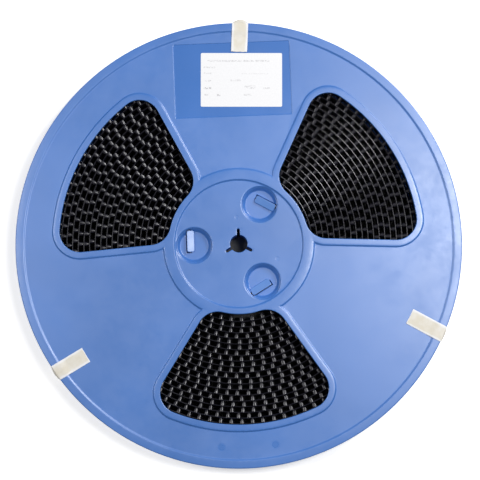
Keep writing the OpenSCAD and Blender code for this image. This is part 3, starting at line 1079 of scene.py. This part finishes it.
def ribbon_mesh():
    """Tape and cover film as one wound ribbon, with edges that stand up in the middle."""
    theta = tape_angles(POCKET_STEP / RIBBON_STEPS)
    r, sway = spiral(theta), tape_sway(theta)
    low, high = TAPE_Z0 + SWAY_ROOM + sway, TAPE_Z1 - SWAY_ROOM + sway
    inside, middle = r - TAPE_T, r - TAPE_T / 2
    rings = []
    for radius, z in ((inside, low + TAPE_CROWN), (middle, low), (r, low + TAPE_CROWN),
                      (r, high - TAPE_CROWN), (middle, high), (inside, high - TAPE_CROWN)):
        rings.append(np.column_stack([radius * np.cos(theta), radius * np.sin(theta), z]))
    verts = np.stack(rings, axis=1).reshape(-1, 3)
    return verts, tube_faces(len(rings), len(theta))


def pocket_section(depth, end_draw, side_draw, half_z):
    """One section of a pocket, as (depth, along the tape, z), with bulging sides."""
    ht, hz, rr = POCKET_HALF - end_draw, half_z - side_draw, POCKET_ROUND
    x, z = ht - rr, hz - rr
    ring = np.vstack([arc(x, z, rr, 0, 90, 3), [(x / 2, hz), (0, hz), (-x / 2, hz)],
                      arc(-x, z, rr, 90, 180, 3), arc(-x, -z, rr, 180, 270, 3), [(0, -hz)],
                      arc(x, -z, rr, 270, 360, 3)])
    ring[:, 1] -= np.sign(ring[:, 1]) * POCKET_CROWN * (ring[:, 0] / ht) ** 2
    return np.column_stack([np.full(len(ring), depth), ring])


def pockets_mesh():
    """The pockets as closed blocks that hang from the ribbon towards the axis."""
    theta = tape_angles(POCKET_STEP)[1:-1]
    rng = np.random.default_rng(SLIP_SEED)
    r = spiral(theta) - TAPE_T
    sway = tape_sway(theta)
    slip = rng.normal(0, POCKET_SLIP, len(theta))
    z0 = TAPE_Z0 + DRIVE_MARGIN
    z1 = TAPE_Z1 - PLAIN_MARGIN
    half_z, mid_z = (z1 - z0) / 2, (z1 + z0) / 2
    depth = TAPE_PITCH - TAPE_T - POCKET_GAP
    sections = [pocket_section(-POCKET_ROOT, 0, 0, half_z),
                pocket_section(depth / 2, END_DRAWS[0], POCKET_DRAFT / 2, half_z),
                pocket_section(depth, END_DRAWS[1], POCKET_DRAFT + FLOOR_DRAW, half_z)]
    pocket = np.vstack(sections)
    c, s = np.cos(theta)[:, None], np.sin(theta)[:, None]
    radial = r[:, None] - pocket[None, :, 0]
    along = pocket[None, :, 1] + slip[:, None]
    verts = np.stack([radial * c - along * s, radial * s + along * c,
                      mid_z + pocket[None, :, 2] + sway[:, None]], axis=2).reshape(-1, 3)
    count, last = len(sections[0]), len(sections) - 1
    one = []
    for level in range(last):
        for k in range(count):
            a, b = level * count + k, level * count + (k + 1) % count
            one.append((a, a + count, b + count, b))
    one += [range(count), range(last * count, len(pocket))[::-1]]
    faces = [tuple(v + i * len(pocket) for v in face) for i in range(len(theta)) for face in one]
    return verts, faces


def make_tape():
    """The wound tape: ribbon and pockets in one piece."""
    verts, faces = join([ribbon_mesh(), pockets_mesh()])
    tape = new_piece("wound_tape", verts, faces, tape_look, sharp=50)
    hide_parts("carrier_tape")


# ---- Floor and light -----------------------------------------

PAINTED_FLOOR_SHADE = (0.10, 0.10, 0.10, 1)  # painted shade: the floor's colour under the reel, dark so that the floor seen through the arbor hole and the tape's gaps looks shaded
FLOOR_TONE = (0.86, 0.86, 0.87, 1)   # and beside it
SHADE_IN = 12            # the painted shade fades out from so many millimetres inside the reel's edge
SHADE_OUT = 2            # to so many outside it
FLOOR_GLOW = 0.55        # beside the reel
WORLD_LIGHT = 0.072      # what the white world adds as light

# All in metres
FLOOR_SIZE = 12
FLOOR_DEPTH = 0.0002     # below the reel
FLOOR_FADE = (0.5, 2.5)  # radii between which the glow rises to 1
# Lamps: name, place, width, height, watts
LAMPS = (("key_right", (0.50, 0.12, 1.27), 0.30, 0.40, 8.7),
         ("key_left", (-0.68, 0.12, 1.15), 0.30, 0.40, 4.8),
         ("side_right", (1.08, 0.88, 0.95), 0.45, 0.45, 16.3),
         ("side_left", (-1.30, 0.30, 1.00), 0.50, 0.50, 1.0))


def make_floor():
    """White floor that takes the reel's shadow, and glows where it is seen beside the reel; under
    the reel its colour is darkened as painted shade.
    """
    material = bpy.data.materials.new("floor_white_painted_shade")
    n = Nodes(material)
    path = n.add("ShaderNodeLightPath")
    seen = n.math("MAXIMUM", path.outputs["Is Camera Ray"], path.outputs["Is Glossy Ray"])
    seen = n.math("MAXIMUM", seen, path.outputs["Is Transmission Ray"])
    radius = n.add("ShaderNodeVectorMath", {0: n.place()}, operation="LENGTH").outputs["Value"]
    # clear is 0 under the reel, where the floor's colour is the painted shade and there is no
    # glow, and 1 beside it
    clear = n.ramp(radius, (REEL_R - SHADE_IN) * MM, (REEL_R + SHADE_OUT) * MM)
    tone = n.mix(clear, PAINTED_FLOOR_SHADE, FLOOR_TONE)
    matt = n.add("ShaderNodeBsdfDiffuse", {"Color": tone})
    glowing = n.ramp(radius, *FLOOR_FADE, FLOOR_GLOW, 1.0)
    strength = n.math("MULTIPLY", n.math("MULTIPLY", seen, clear), glowing)
    glow = n.add("ShaderNodeEmission", {"Color": WHITE, "Strength": strength})
    both = n.add("ShaderNodeAddShader", {0: matt.outputs[0], 1: glow.outputs[0]})
    n.put(n.output.inputs["Surface"], both.outputs[0])
    bpy.ops.mesh.primitive_plane_add(size=FLOOR_SIZE, location=(0, 0, -FLOOR_DEPTH))
    floor = bpy.context.object
    floor.name = "floor"
    floor.data.materials.append(material)


def make_world():
    """White where it is looked at, and a faint even light on the reel."""
    world = bpy.data.worlds.new("studio")
    bpy.context.scene.world = world
    n = Nodes(world, "ShaderNodeOutputWorld")
    path = n.add("ShaderNodeLightPath")
    seen = n.math("MAXIMUM", path.outputs["Is Camera Ray"], path.outputs["Is Transmission Ray"])
    strength = n.ramp(seen, 0.0, 1.0, WORLD_LIGHT, 1.0)
    sky = n.add("ShaderNodeBackground", {"Color": WHITE, "Strength": strength})
    n.put(n.output.inputs["Surface"], sky.outputs[0])


def softbox(name, place, width, height, power):
    """An area lamp that faces the reel, at a place in metres."""
    data = bpy.data.lights.new(name, "AREA")
    data.shape = "RECTANGLE"
    data.size, data.size_y = width, height
    data.energy = power
    lamp = bpy.data.objects.new(name, data)
    lamp.location = place
    lamp.rotation_mode = "QUATERNION"
    back = Vector(place) - Vector((0, 0, MID_Z * MM))
    lamp.rotation_quaternion = back.to_track_quat("Z", "Y")
    bpy.context.scene.collection.objects.link(lamp)


make_camera()
make_flanges()
make_hub()
make_tape()
make_strips()
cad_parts["label"].material_slots[0].material = label_look

make_floor()
make_world()
for lamp in LAMPS:
    softbox(*lamp)

bpy.context.scene.view_settings.view_transform = "Standard"
